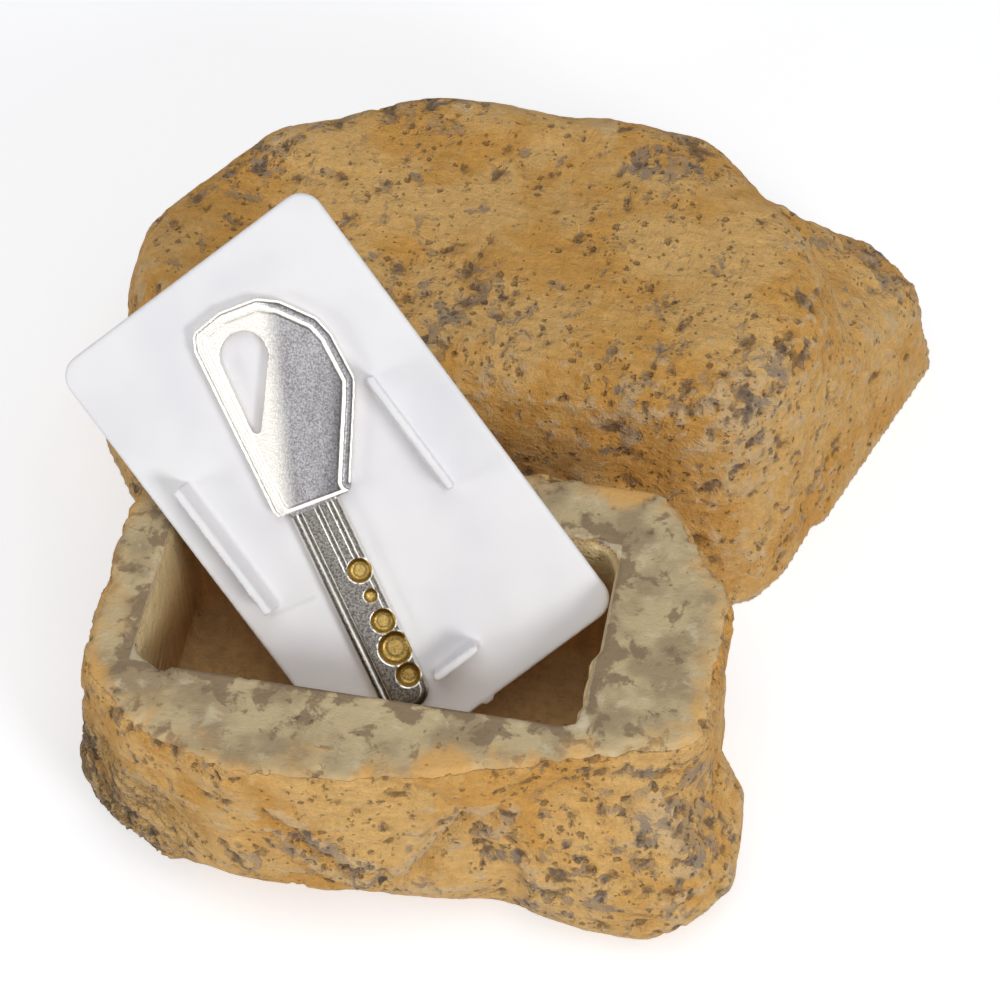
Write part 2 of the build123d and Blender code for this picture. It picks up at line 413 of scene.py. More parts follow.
def sink_pits(piece, count, sizes, depth, chance_at, seed):
    """Sinks ragged pits where the chance is high, and tells how deep each point lies in one."""
    chooser = random.Random(seed)
    finder = point_finder(piece)
    points = piece.data.vertices
    sunk = [0.0] * len(points)
    moves = {}
    made = 0
    smallest, largest = sizes
    while made < count:
        middle = points[chooser.randrange(len(points))]
        if chooser.random() > chance_at(middle):
            continue
        made += 1
        size = chooser.random() ** PIT_RARITY
        reach = (smallest + (largest - smallest) * size) * MM
        fall = depth * (SHALLOWEST + (1 - SHALLOWEST) * size)
        long_way = Vector([chooser.gauss(0, 1) for _ in range(3)]).normalized()
        for place, index, _ in finder.find_range(middle.co, reach * 1.5):
            offset = place - middle.co
            offset -= long_way * (offset.dot(long_way) * LONG_SHARE)
            ragged = 1 + RAGGEDNESS * noise.noise(place / (RAG_SIZE * MM))
            ease = 1 - smooth_step(0.3, 1.0, offset.length * ragged / reach)
            if ease > sunk[index]:
                sunk[index] = ease
                moves[index] = middle.normal * (-fall * ease)
    for index, move in moves.items():
        points[index].co += move
    piece.data.update()
    return sunk


def nearness(piece, marks, reach, seen_from=lambda place: place):
    """1 at the marked points, falling to 0 at the given reach from them, for every point."""
    finder = kdtree.KDTree(len(marks))
    for number, place in enumerate(marks):
        finder.insert(place, number)
    finder.balance()
    return [max(1 - finder.find(seen_from(v.co))[2] / reach, 0.0) for v in piece.data.vertices]


def stay_inside(piece, node):
    """Holds a piece within its CAD node's box, and a stone's foot on the floor."""
    low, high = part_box(node)
    for v in piece.data.vertices:
        for axis in range(3):
            v.co[axis] = min(max(v.co[axis], low[axis]), high[axis])
    piece.data.update()


def set_down(piece, node, body, finish):
    """Gives a piece its finish and puts it in its node's place on the frame."""
    piece.data.materials.append(finish)
    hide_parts(node)
    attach(piece, body)


# ---- finishes -------------------------------------------------------------


class Level:
    """A node's output that can be used in a Python expression."""

    def __init__(self, finish, socket):
        self.finish = finish
        self.socket = socket

    def _with(self, operation, *others):
        return self.finish.node("Math", {"operation": operation}, [self, *others])

    def __add__(self, other):
        return self._with("ADD", other)

    def __radd__(self, other):
        return self._with("ADD", other)

    def __sub__(self, other):
        return self._with("SUBTRACT", other)

    def __rsub__(self, other):
        return self.finish.node("Math", {"operation": "SUBTRACT"}, [other, self])

    def __mul__(self, other):
        return self._with("MULTIPLY", other)

    def __rmul__(self, other):
        return self._with("MULTIPLY", other)

    def __truediv__(self, other):
        return self._with("DIVIDE", other)

    def __pow__(self, other):
        return self._with("POWER", other)

    def __abs__(self):
        return self._with("ABSOLUTE")

    def least(self, other):
        return self._with("MINIMUM", other)

    def most(self, other):
        return self._with("MAXIMUM", other)

    def beside(self, output):
        """Another output of the same node."""
        return Level(self.finish, self.socket.node.outputs[output])

    def band(self, low, high, soft):
        """1 from low to high, with soft ends."""
        return self.rise(low - soft, low + soft) * (1 - self.rise(high - soft, high + soft))

    def rise(self, low, high):
        """0 below low and 1 above high, eased between them. It falls where low is the greater."""
        ease = {"interpolation_type": "SMOOTHSTEP"}
        return self.finish.node("MapRange", ease, [self, low, high, 0.0, 1.0])


class Finish:
    """A material under construction."""

    def __init__(self, name):
        self.material = bpy.data.materials.new(name)
        self.material.use_nodes = True
        self.tree = self.material.node_tree
        self.shader = self.tree.nodes["Principled BSDF"]

    def node(self, kind, settings=None, values=(), output=0):
        """Adds a node: its settings first, then the values or links of its sockets."""
        made = self.tree.nodes.new("ShaderNode" + kind)
        for setting, value in (settings or {}).items():
            setattr(made, setting, value)
        pairs = values.items() if isinstance(values, dict) else enumerate(values)
        for socket, value in pairs:
            self.feed(made.inputs[socket], value)
        return Level(self, made.outputs[output])

    def feed(self, socket, value):
        """Links a level to a socket, or sets the socket's own value."""
        if isinstance(value, Level):
            self.tree.links.new(value.socket, socket)
        elif hasattr(socket.default_value, "__len__") and len(value) == 3 and socket.type == "RGBA":
            socket.default_value = (*value, 1.0)
        else:
            socket.default_value = value

    def place(self):
        """The place on the object, in metres."""
        return self.node("TexCoord", output="Object")

    def mottle(self, size, detail=4.0, roughness=0.55, warp=0.0):
        """A soft random pattern whose marks are about the given size."""
        values = {
            "Vector": self.place(),
            "Scale": 1 / size,
            "Detail": detail,
            "Roughness": roughness,
            "Distortion": warp,
        }
        return self.node("TexNoise", None, values, output="Fac")

    def streaks(self, size, stretch, detail=4.0):
        """A random pattern drawn out along each axis by its own stretch."""
        place = self.node("VectorMath", {"operation": "DIVIDE"}, [self.place(), stretch], "Vector")
        values = {"Vector": place, "Scale": 1 / size, "Detail": detail, "Roughness": 0.6}
        return self.node("TexNoise", None, values, output="Fac")

    def specks(self, size, share):
        """Small ragged marks, 1 in their middle, in about the given share of the cells."""
        values = {"Vector": self.place(), "Scale": 2.2 / size, "Detail": 2.0}
        wander = self.node("TexNoise", None, values, "Color")
        stir = [wander, (size * 0.9,) * 3, self.place()]
        place = self.node("VectorMath", {"operation": "MULTIPLY_ADD"}, stir, "Vector")
        near = self.node("TexVoronoi", None, {"Vector": place, "Scale": 1 / size}, "Distance")
        chance = self.node("SeparateColor", None, [near.beside("Color")], "Red")
        width = self.node("SeparateColor", None, [near.beside("Color")], "Green")
        chosen = (chance + share).rise(0.98, 1.02)
        return (1 - (near - width * 0.16).rise(0.04, 0.36)) * chosen

    def stored(self, name):
        """A level stored at the points of the mesh."""
        return self.node("Attribute", {"attribute_name": name}, output="Fac")

    def along(self, direction, start=0.0):
        """The distance along a direction from a start, in millimetres."""
        dot = {"operation": "DOT_PRODUCT"}
        reach = self.node("VectorMath", dot, [self.place(), direction], "Value")
        return (reach - start) / MM

    def mix(self, share, first, second):
        """Goes from the first colour to the second as the share goes from 0 to 1."""
        settings = {"data_type": "RGBA"}
        return self.node("Mix", settings, {0: share, 6: first, 7: second}, output=2)

    def tone(self, colour, strength):
        """Makes a colour lighter or darker by a level."""
        grey = self.node("CombineColor", None, [strength, strength, strength])
        settings = {"data_type": "RGBA", "blend_type": "MULTIPLY"}
        return self.node("Mix", settings, {0: 1.0, 6: colour, 7: grey}, output=2)

    def bump(self, height, depth):
        """Fine relief, its depth in metres."""
        values = {"Strength": 1.0, "Distance": depth, "Height": height}
        return self.node("Bump", None, values, "Normal")

    def done(self, **sockets):
        """Feeds the shader's sockets and hands over the material."""
        for name, value in sockets.items():
            self.feed(self.shader.inputs[name.replace("_", " ").title()], value)
        return self.material


# The way the fibrous ridges run, low on the left of the lower stone's front, and across them.
FIBRE_WAY = Vector((0.75, -0.3, -0.59)).normalized()
FIBRE_ACROSS = Vector((0.45, -0.4, 0.8)).normalized()


# Sizes of the marks in the casts' finish.
GRIT, FINE, RAGGED, MIDDLING, BROAD = 0.32 * MM, 1.0 * MM, 2.9 * MM, 6.0 * MM, 22 * MM
BRUSH, FAINT, CLOUD, BLOT, GATHER = 1.1 * MM, 4.0 * MM, 7.5 * MM, 4.2 * MM, 9 * MM
LARGE_PORE, SMALL_PORE, RUN = 1.3 * MM, 0.65 * MM, 1.5 * MM
# Stretch of the brushed paint along each axis, and of the runs down the compartment's walls.
BRUSH_STRETCH = (5.0, 1.2, 1.0)
RUN_STRETCH = (1.0, 1.0, 14.0)
# The depths under the rim between which the compartment's walls are darkened as painted shade, in
# mm.
WALL_TOP, WALL_FOOT = 1.0, 17.0


def paint_colour(f, settings, fine, middle, brushed, outer):
    """Ochre paint, deeper in broad drifts, and paler where the cast stands out and on its sides:
    partly rubbed paint, partly painted highlight and painted light.
    """
    broad = f.mottle(BROAD, 2.0, 0.5)
    thin = (broad + (middle - 0.5) * 0.8).rise(0.36, 0.62)
    paint = f.mix(thin, settings.deep_ochre, settings.ochre)
    # Partly rubbed paint, partly painted highlight and painted light: the stored level pales what
    # stands out, and the sides.
    rubbed = (f.stored("proud") + (middle - 0.5) * 0.9 + (fine - 0.5) * 0.5).rise(0.5, 0.9)
    paint = f.mix(rubbed * (1 - outer) * 0.75, paint, settings.chalky)
    return f.tone(paint, 0.42 + 0.6 * fine + 0.54 * brushed)


def rim_colour(f, settings, fine, middle):
    """The sanded rim: clouds, a darker band at the mouth and paint rubbed into it."""
    mouth = f.stored("mouth_edge")
    cloud = f.mottle(CLOUD, 3.0, 0.5)
    blot = f.mottle(BLOT, 5.0, 0.62, 0.3)
    rim = f.mix(cloud.rise(0.42, 0.64) * 0.6, settings.sanded, settings.sanded_dark)
    rim = f.mix((blot + mouth * 0.16).rise(0.55, 0.63) * 0.85, rim, settings.sanded_dark)
    rim = f.mix(blot.rise(0.44, 0.3) * 0.6, rim, settings.chip)
    stained = f.stored("stained") + (middle - 0.5) * 1.6 + (fine - 0.5) * 0.3
    rim = f.mix(stained.rise(0.35, 1.0) * 0.8, rim, settings.stain)
    rim = f.mix((mouth + (fine - 0.5) * 0.1).rise(0.9, 0.96) * 0.6, rim, settings.chip)
    return f.tone(rim, 0.92 + 0.16 * fine)


def wall_colour(f, settings):
    """The compartment: tan under the rim, darkened towards its foot as painted shade, and streaked
    downwards.
    """
    depth = f.along((0.0, 0.0, -1.0), -RIM_HEIGHT)
    runs = f.streaks(RUN, RUN_STRETCH)
    # Painted shade: the walls' colour darkens with depth under the rim.
    fall = (depth + (runs - 0.5) * 16).rise(WALL_TOP, WALL_FOOT)
    wall = f.mix(fall, settings.hollow, settings.hollow_painted_shade)
    return f.tone(wall, 0.6 + 0.8 * runs)


def stone_finish(name, settings):
    """Painted cast stone: ochre over grey, worn in patches and pitted, with a sanded rim."""
    f = Finish(name)
    grit = f.mottle(GRIT, 2.0, 0.6)
    fine = f.mottle(FINE, 5.0, 0.7)
    ragged = f.mottle(RAGGED, 5.0, 0.64, 0.35)
    middle = f.mottle(MIDDLING, 4.0, 0.6, 0.3)
    brushed = f.streaks(BRUSH, BRUSH_STRETCH)
    outer = f.stored("outer_edge")
    paint = paint_colour(f, settings, fine, middle, brushed, outer)

    # Grey cast in ragged patches, thickest where the stored wear is high and in the pits.
    worn = f.stored("worn")
    pits = f.stored("pits")
    edge = ragged + (worn - 0.5) * 0.3 + (fine - 0.5) * 0.2 + pits * 0.1
    bare = edge.rise(0.52, 0.66)
    faint = f.mottle(FAINT, 2.0, 0.5).rise(0.36, 0.6)
    grey = f.tone(settings.worn, 0.5 + 0.5 * middle + 0.5 * fine)
    colour = f.mix(bare * (0.4 + 0.5 * faint), paint, grey)

    # The rim and the compartment. Paint spills ragged over the rim's outer edge.
    flat = f.stored("sanded") - outer * 0.42 + (ragged - 0.5) * 1.3 + (fine - 0.5) * 0.5
    flat = flat.rise(0.3, 0.5)
    colour = f.mix(flat, colour, rim_colour(f, settings, fine, middle))
    inside = f.stored("hollow")
    colour = f.mix(inside, colour, wall_colour(f, settings))

    # Air pits: those sunk into the cast, and finer ones that only the finish shows. Both are
    # painted dark inside as painted shade.
    open_share = 1 - flat * 0.88 - inside * 0.9
    gather = f.mottle(GATHER, 3.0, 0.6).rise(0.42, 0.66)
    share = (0.1 * gather + worn * 0.26 - 0.03) * open_share
    pores = f.specks(LARGE_PORE, share * 1.2).most(f.specks(SMALL_PORE, share) * 0.7)
    deep = (pits + (fine - 0.5) * 0.9).rise(0.66, 1.1)
    # Painted shade: the deep insides of the sunk pits, and the pores, take the dark pit colour.
    colour = f.mix((pores * 0.5).most(deep * 0.72), colour, settings.pit_shade)

    # Fibrous ridges, with painted shade between them.
    fibrous = f.stored("fibrous")
    lines = [f.along(FIBRE_WAY) * 0.16, f.along(FIBRE_ACROSS) * 1.15, 0.0]
    values = {"Vector": f.node("CombineXYZ", None, lines), "Scale": 1.0, "Detail": 4.0}
    fibres = f.node("TexNoise", None, values, "Fac")
    gaps = fibres.rise(0.52, 0.38) * fibrous * (1 - flat)
    colour = f.mix(gaps * 0.55, colour, settings.pit_shade)

    relief = fine * 0.75 + grit * 0.22 + brushed * 0.45 - bare * 0.35 - pores * 0.8
    relief = relief + fibres * fibrous * 5.0
    rough_share = 1 - flat * 0.7 - inside * 0.5
    normal = f.bump(relief * rough_share, 1.0 * MM)
    f.feed(f.shader.inputs["Specular IOR Level"], 0.35)
    return f.done(base_color=colour, roughness=0.6 + 0.25 * grit, normal=normal)


def plate_finish(settings):
    """White moulded plastic with faint clouds."""
    f = Finish("white moulding")
    cloud = f.mottle(14 * MM, 2.0, 0.5)
    colour = f.mix(cloud.rise(0.35, 0.7), settings.white, settings.shade)
    # A thin grey line across the plate.
    colour = f.mix(f.stored("crease") * 0.35, colour, settings.crease)
    normal = f.bump(f.mottle(0.5 * MM, 2.0, 0.5), 0.01 * MM)
    f.feed(f.shader.inputs["Specular IOR Level"], 0.4)
    return f.done(base_color=colour, roughness=0.38 + 0.08 * cloud, normal=normal)


# Dimples on the blade: distance from the shoulder, offset across and radius, in mm.
DIMPLES = [
    (10.4, 1.85, 1.75),
    (14.2, 1.75, 1.0),
    (18.1, 1.8, 1.75),
    (22.2, 1.7, 2.4),
    (26.3, 1.75, 1.75),
]
# Grooves along the blade: offset across and length from the shoulder, in mm.
GROOVES = [(-2.3, 29.0), (0.3, 10.0), (2.2, 10.0)]
# The teardrop hole is drawn round a large and a small circle: middle and radius, in mm.
HOLE_ROUNDS = [((-22.9, 0.2), 3.3), ((-13.1, -2.6), 0.6)]
# How far from the key's outline its stored gaps reach, in mm.
GAP_REACH = 4.0
# The way the bow's straight right edge runs, along and across the key, by its cosine and sine.
EDGE_COS, EDGE_SIN = 0.884, 0.468
# The panel's brushed lines and broad sheen: how often they change along and across them, per mm.
BRUSH_LINES, SHEEN = (0.9, 3.0), (0.1, 0.5)
# The blade's darker tip, in mm from the shoulder.
DARK_TIP = (28.9, 29.9)


def key_finish(settings):
    """Nickel over brass: polished border, brushed panel, speckled blade and brass dimples."""
    f = Finish("nickel and brass")
    along = f.along(KEY_WAY, SHOULDER)
    across = f.along(KEY_ACROSS, BLADE_MIDDLE)
    gap = f.stored("outline_gap") * GAP_REACH
    top = f.along(PLATE_NORMAL, KEY_TOP).rise(-1.5, -1.2)
    rim_gap = f.stored("bow_gap") * GAP_REACH
    speckle = f.mottle(0.3 * MM, 2.0, 0.7).rise(0.35, 0.65)

    # The bow: brushed down its straight right edge, and polished round the hole. The brushed panel
    # carries painted reflection: lighter to one side, with a broad sheen.
    down = along * EDGE_COS - across * EDGE_SIN
    aside = along * EDGE_SIN + across * EDGE_COS
    lines = f.node("CombineXYZ", None, [down * BRUSH_LINES[0], aside * BRUSH_LINES[1], 0.0])
    grain = f.node("TexNoise", None, {"Vector": lines, "Scale": 1.5, "Detail": 4.0}, "Fac")
    drift = f.node("CombineXYZ", None, [down * SHEEN[0], aside * SHEEN[1], 0.0])
    sheen = f.node("TexNoise", None, {"Vector": drift, "Scale": 1.0, "Detail": 2.0}, "Fac")
    # Painted reflection: the panel fades darker across its width and is mottled by a broad sheen.
    fall = 1.3 - aside.rise(-1.0, 4.6) * 0.86 + (sheen - 0.5) * 0.9
    brushed = f.tone(settings.brushed, fall * (0.3 + 0.8 * grain + 0.6 * speckle))
    panel_share = (across + along * 0.36 + 4.0 + (grain - 0.5) * 2.4).rise(-1.6, 1.8)
    bow = f.mix(panel_share, settings.polished, brushed)
    channel = f.tone(settings.brushed, 0.65 + speckle * 0.7)
    bow = f.mix(rim_gap.band(0.3, 1.0, 0.08) * panel_share, bow, channel)
    # Painted shade: dark lines at the border's steps.
    bow = f.mix(rim_gap.band(0.34, 0.5, 0.06) * 0.75, bow, settings.dark)
    bow = f.mix(rim_gap.band(1.75, 1.95, 0.08) * panel_share * 0.6, bow, settings.dark)
    # Painted highlight: bright lines on the border's edge and ridge.
    bright = rim_gap.band(-1.0, 0.22, 0.06).most(rim_gap.band(1.2, 1.65, 0.08))
    bow = f.mix(bright, bow, settings.polished)

    # The blade: speckled, with painted highlight in bright double lines at its edges and beside its
    # grooves, and painted shade in dark lines between the edge lines and down the grooves.
    blade = f.tone(settings.blade, 0.3 + 0.9 * speckle + 0.3 * grain)
    dark_line = gap.band(0.4, 0.62, 0.06)
    bright_line = gap.band(-1.0, 0.26, 0.06).most(gap.band(0.86, 1.05, 0.05))
    for offset, length in GROOVES:
        beside = abs(across - offset)
        within = 1 - along.rise(length - 0.4, length)
        dark_line = dark_line.most(beside.band(-1.0, 0.14, 0.05) * within)
        bright_line = bright_line.most(beside.band(0.3, 0.42, 0.05) * within)
    blade = f.mix(dark_line * 0.8, blade, settings.dark)
    blade = f.mix(bright_line * 0.85, blade, settings.polished)
    blade = f.mix(along.rise(*DARK_TIP) * 0.85, blade, settings.dark)

    # The dimples show brass, with painted highlight on their flat bottoms and on the burr round
    # them, and a ring of painted shade inside.
    far = None
    for start, offset, radius in DIMPLES:
        reach = ((along - start) ** 2.0 + (across - offset) ** 2.0) ** 0.5 / radius
        far = reach if far is None else far.least(reach)
    broken = f.mottle(0.8 * MM, 2.0, 0.5).rise(0.4, 0.54)
    # Painted highlight: the broken bright ring on the burr.
    blade = f.mix(far.band(1.0, 1.07, 0.03) * top * broken * 0.85, blade, settings.polished)
    brass = f.mix(1 - far.rise(0.38, 0.46), settings.brass, settings.bright_brass)
    # Painted shade: a dark ring inside each dimple.
    brass = f.mix(far.band(0.44, 0.56, 0.05) * 0.4, brass, settings.dark)
    brass = f.tone(brass, 0.7 + 0.5 * speckle)
    blade = f.mix((1 - far.rise(0.96, 1.0)) * top, blade, brass)

    on_bow = 1 - along.rise(-0.3, 0.2)
    colour = f.mix(on_bow, blade, bow)
    relief = f.bump(grain * 0.5 * on_bow + speckle * 0.4, 0.03 * MM)
    f.feed(f.shader.inputs["Metallic"], 1.0)
    shine = 0.2 + 0.16 * panel_share
    return f.done(base_color=colour, roughness=shine, normal=relief)


# ---- pieces ---------------------------------------------------------------

# How often each cast is smoothed before its relief is made, which softens the CAD's edges.
LOWER_SMOOTHING, UPPER_SMOOTHING = 60, 80
# The height over which a cast's foot keeps its plain form, so that it stands flat.
FOOT = 3 * MM
# Where the lower stone's faces bulge, hollow and break: place, reach and depth in mm.
LOWER_DENTS = [
    ((6, -27, 33), 8, 1.0),
    ((16, -27, 25), 6, 1.2),
    ((12, -29, 16), 5, 1.0),
    ((-24, -28, 30), 8, 0.6),
    ((24, -25, 13), 5, 0.8),
    ((30, -23, 31), 6, 0.6),
    ((47, -15, 25), 5, 0.7),
    ((53, -12, 20), 4, 0.6),
    ((30.8, -9, 36), 6, -1.1),
    ((30.9, -13, 37), 2.2, -0.9),
    ((31.2, -4.5, 37), 2.6, -0.8),
]
# A crease under the rim: a line of places with its width and depth in mm.
LOWER_CREASES = [([(7, -26, 36), (13.6, -27, 32.5), (18.8, -26, 24)], 3.2, 1.2)]
# Ledges in its front: a line of places, the way its proud side lies, its reach and step in mm.
LOWER_LEDGES = [
    (
        [(18, -25.8, 27), (14.8, -26.8, 24), (12.9, -27.5, 21), (10, -28.6, 16), (5, -30, 14.5)],
        (-0.7, 0, 0.7),
        5.0,
        1.7,
    ),
    (
        [(-7.5, -31, 28.5), (-3.5, -31, 23.5), (0.4, -30.7, 20), (6, -30, 17.5)],
        (0.5, 0, 0.85),
        3.6,
        1.7,
    ),
]
# The reach of the smallest and the largest air pits, in mm.
LOWER_PITS, UPPER_PITS = (0.5, 1.7), (0.5, 1.9)
# Chips broken out of the rim's outer edge: their number, their reaches in mm, their depth, and
# how far under the rim their middles may lie.
RIM_CHIPS, CHIP_SIZES, CHIP_DEPTH, CHIP_REACH = 90, (1.0, 2.6), 0.8 * MM, 1.6 * MM
# A hole and larger pits in the rim, with painted shade inside them: place, reach and depth in mm.
RIM_HOLES = [
    ((37.3, -17.8, 38), 1.5, 1.3),
    ((33.9, 24.5, 38), 1.0, 0.8),
    ((34.4, 18.7, 38), 1.2, 0.7),
]

# Where the upper stone's back stands out: place, reach and, below zero, height in mm.
UPPER_BULGES = [
    ((-29, 82, 42), 12, -0.7),
    ((-14, 89, 42), 12, -1.0),
    ((1, 90, 43), 11, -0.7),
    ((17, 91, 42), 12, -0.8),
    ((-48, 47, 37), 9, -0.8),
    ((43, 89, 31), 9, -0.9),
]

# Where the grey cast shows most: place, reach in mm and how much.
LOWER_WEAR = [
    ((-44, -17, 14), 17, 0.5),
    ((-30, -27, 10), 13, 0.4),
    ((-2, -31, 22), 6, 0.5),
    ((4, -31, 17), 6, 0.5),
    ((15, -27, 23), 6, 0.5),
    ((46, -16, 26), 13, 0.4),
    ((30, -26, 12), 12, 0.2),
]
UPPER_WEAR = [
    ((28, 84, 43), 12, 0.42),
    ((5, 50, 40), 16, 0.3),
    ((30, 43, 37), 13, 0.35),
    ((46, 46, 37), 13, 0.24),
    ((46, 41, 26), 12, 0.16),
    ((60, 88, 24), 11, 0.4),
    ((-35, 72, 42), 12, 0.25),
    ((-12, 90, 42), 12, 0.3),
]
# Where ochre paint is rubbed into the rim: place and reach in mm.
RIM_STAINS = [
    ((-50, 10, 38), 12),
    ((-47, -6, 38), 14),
    ((-41, -20, 38), 13),
    ((14, -26, 38), 8),
    ((30, 27, 38), 8),
]
# Where the paint is rubbed to a pale, pitted chalk: place and reach in mm.
UPPER_CHALK = [((45, 43, 35), 12), ((46, 42, 25), 10), ((28, 41, 34), 7)]
LOWER_CHALK = [((44, -22, 27), 10), ((14, -28, 18), 6), ((-41, -20, 22), 9)]
# How much paler the chalk spots are rubbed than the top, and how much paler the sides are made as
# painted light.
CHALK_SHARE, LIT_SIDE_SHARE = 0.4, 0.22
# How often a cast's copy is smoothed to tell what stands out of it.
RELIEF_SMOOTHING = 50
# How worn the paint of each cast is where no spot is named.
LOWER_WORN, UPPER_WORN = 0.36, 0.34
# How far from the rim's outer edge the paint is broken and stained, and the mouth's dark band.
EDGE_BAND, STAIN_BAND, MOUTH_BAND = 6 * MM, 9 * MM, 4 * MM
# The sizes of the swells and lumps of each cast.
LOWER_SWELLS, LOWER_LUMPS = 13 * MM, 4.0 * MM
UPPER_SWELLS, UPPER_LUMPS = 15 * MM, 4.4 * MM
# Half the length and half the width of the compartment's mouth.
MOUTH_HALF = (30.8 * MM, 15.2 * MM)


def on_rim(v):
    """How far a point of the lower stone lies on its flat rim."""
    high = smooth_step(-1.2 * MM, -0.4 * MM, v.co.z - RIM_HEIGHT)
    return high * smooth_step(0.5, 0.85, v.normal.z)


def beyond_mouth(place):
    """How far a place lies outside the mouth of the compartment."""
    across = [max(abs(place[axis]) - MOUTH_HALF[axis], 0.0) for axis in (0, 1)]
    return math.hypot(*across)


def in_compartment(v):
    """How far a point lies inside the compartment."""
    below = smooth_step(0.1 * MM, 1.2 * MM, RIM_HEIGHT - v.co.z)
    return (1 - smooth_step(0.1 * MM, 0.5 * MM, beyond_mouth(v.co))) * below


def wear_at(place, wear, base):
    """How worn the paint is at a place: broad drifts, thicker about the worn spots."""
    drift = noise.noise(place / (17 * MM) + Vector((7, 3, 1)))
    patch = noise.fractal(place / (5 * MM), 0.9, 2.1, 3)
    level = base + 0.3 * drift + 0.22 * patch
    for spot, reach, share in wear:
        level += share * (1 - smooth_step(0.2, 1.0, (place / MM - Vector(spot)).length / reach))
    return min(max(level, 0.0), 1.0)


def stained_at(place, outer):
    """How much paint is rubbed into the rim: along its outer edge, and in broad spots."""
    return max(outer * 0.75, near_any(place, RIM_STAINS))


def fibrous_at(place):
    """How fibrous the lower stone is at a place: low on the left of its front."""
    x, y, z = place / MM
    left = 1 - smooth_step(-32, -15, x)
    low = 1 - smooth_step(19, 33, z)
    front = 1 - smooth_step(-8, 2, y)
    return left * low * front


def near_any(place, spots):
    """1 within a third of a spot's reach of its middle, falling to 0 at its reach."""
    shares = [(place / MM - Vector(spot)).length / reach for spot, reach in spots]
    return 1 - smooth_step(0.3, 1.0, min(shares))


def store_weathering(stone, wear, base, chalk):
    """Stores what is pale, from rubbed paint and painted highlight where the cast stands out and
    painted light on its sides, and how worn each point of a stone is, and returns the wear.
    """
    points = stone.data.vertices
    pale = []
    for height, v in zip(standing_out(stone, RELIEF_SMOOTHING), points):
        level = smooth_step(-0.05, 0.3, height) + CHALK_SHARE * near_any(v.co, chalk)
        # Painted light: the sides are made paler than the top.
        level += LIT_SIDE_SHARE * (1 - max(v.normal.z, 0.0))
        pale.append(min(level, 1.0))
    keep_level(stone, "proud", pale)
    return keep_level(stone, "worn", [wear_at(v.co, wear, base) for v in points])


def lower_relief(v):
    """Slanting fibrous ridges low on the left of the front, and shallow ledges over all of it."""
    place = v.co / MM
    slant = Vector((place.dot(FIBRE_WAY) * 0.1, place.dot(FIBRE_ACROSS) * 0.75, 0))
    ridges = 1 - 2 * abs(noise.fractal(slant, 0.9, 2.0, 3))
    ledge = Vector((place.x * 0.07, place.y * 0.07, place.z * 0.34))
    return 1.1 * fibrous_at(v.co) * (ridges - 0.6) + 0.3 * noise.fractal(ledge, 0.9, 2.0, 3)


def upper_relief(v):
    """A rougher skin along the front ridge and down the right than on the domed top."""
    place = v.co / MM
    front = 1 - smooth_step(2, 15, abs(place.y - 43 - 0.1 * place.x))
    right = smooth_step(38, 56, place.x)
    rough = noise.fractal(place / 2.6, 0.8, 2.1, 4)
    return (0.12 + 0.26 * max(front, right)) * rough


class KEYROCK_OT_lower_stone(bpy.types.Operator):
    """Sculpt the half that holds the key compartment"""

    bl_idname = "keyrock.lower_stone"
    bl_label = "Lower stone"

    def execute(self, context):
        settings = context.scene.key_rock_stone
        stone = copy_of("lower_stone", "lower_stone_cast")
        refine(stone, settings.grain)
        points = stone.data.vertices
        rim = keep_level(stone, "sanded", [on_rim(v) for v in points])
        hollow = keep_level(stone, "hollow", [in_compartment(v) for v in points])
        beyond = [beyond_mouth(v.co) for v in points]
        edge = [
            v.co.copy()
            for v, flat, out in zip(points, rim, beyond)
            if flat < 0.5 and out > 1 * MM and v.co.z > RIM_HEIGHT - 2.5 * MM
        ]
        outer = keep_level(stone, "outer_edge", nearness(stone, edge, EDGE_BAND))
        wide = nearness(stone, edge, STAIN_BAND)
        keep_level(stone, "stained", [stained_at(v.co, near) for v, near in zip(points, wide)])
        keep_level(stone, "fibrous", [fibrous_at(v.co) for v in points])
        keep_level(stone, "mouth_edge", [max(1 - out / MOUTH_BAND, 0.0) for out in beyond])
        flat = [
            level * (1 - 0.8 * smooth_step(0.72, 0.95, near)) for level, near in zip(rim, outer)
        ]
        free = [(1 - a) * (1 - b) for a, b in zip(flat, hollow)]
        free = [level * smooth_step(0, FOOT, v.co.z) for level, v in zip(free, points)]
        group = group_from(stone, "weathered", free)
        smooth(stone, LOWER_SMOOTHING, group)
        raise_by(stone, clouds("lower swells", LOWER_SWELLS, depth=1), settings.swell, group)
        raise_by(stone, clouds("lower lumps", LOWER_LUMPS, depth=3), settings.lumps, group)
        roughen(stone, lambda v: free[v.index] * lower_relief(v))
        press(stone, LOWER_DENTS)
        for line, width, depth in LOWER_CREASES:
            crease(stone, line, width, depth)
        for line, out_way, width, depth in LOWER_LEDGES:
            ledge(stone, line, out_way, width, depth)
        worn = store_weathering(stone, LOWER_WEAR, LOWER_WORN, LOWER_CHALK)

        def pitted(v):
            bare = 0.12 + 0.88 * worn[v.index]
            weathered = 0.06 + 0.94 * free[v.index]
            return bare * weathered * (1 - hollow[v.index])

        def broken_edge(v):
            if v.co.z < RIM_HEIGHT - CHIP_REACH:
                return 0.0
            return smooth_step(0.8, 0.95, outer[v.index])

        sunk = sink_pits(stone, settings.pits, LOWER_PITS, settings.pit_depth, pitted, seed=11)
        sink_pits(stone, RIM_CHIPS, CHIP_SIZES, CHIP_DEPTH, broken_edge, seed=5)
        press(stone, RIM_HOLES)
        # The holes take the painted shade of the pits.
        holes = [(spot, reach * 1.3) for spot, reach, _ in RIM_HOLES]
        sunk = [max(level, near_any(v.co, holes)) for level, v in zip(sunk, points)]
        keep_level(stone, "pits", sunk)
        stay_inside(stone, "lower_stone")
        set_down(stone, "lower_stone", "lower", stone_finish("lower cast", settings))
        return {"FINISHED"}


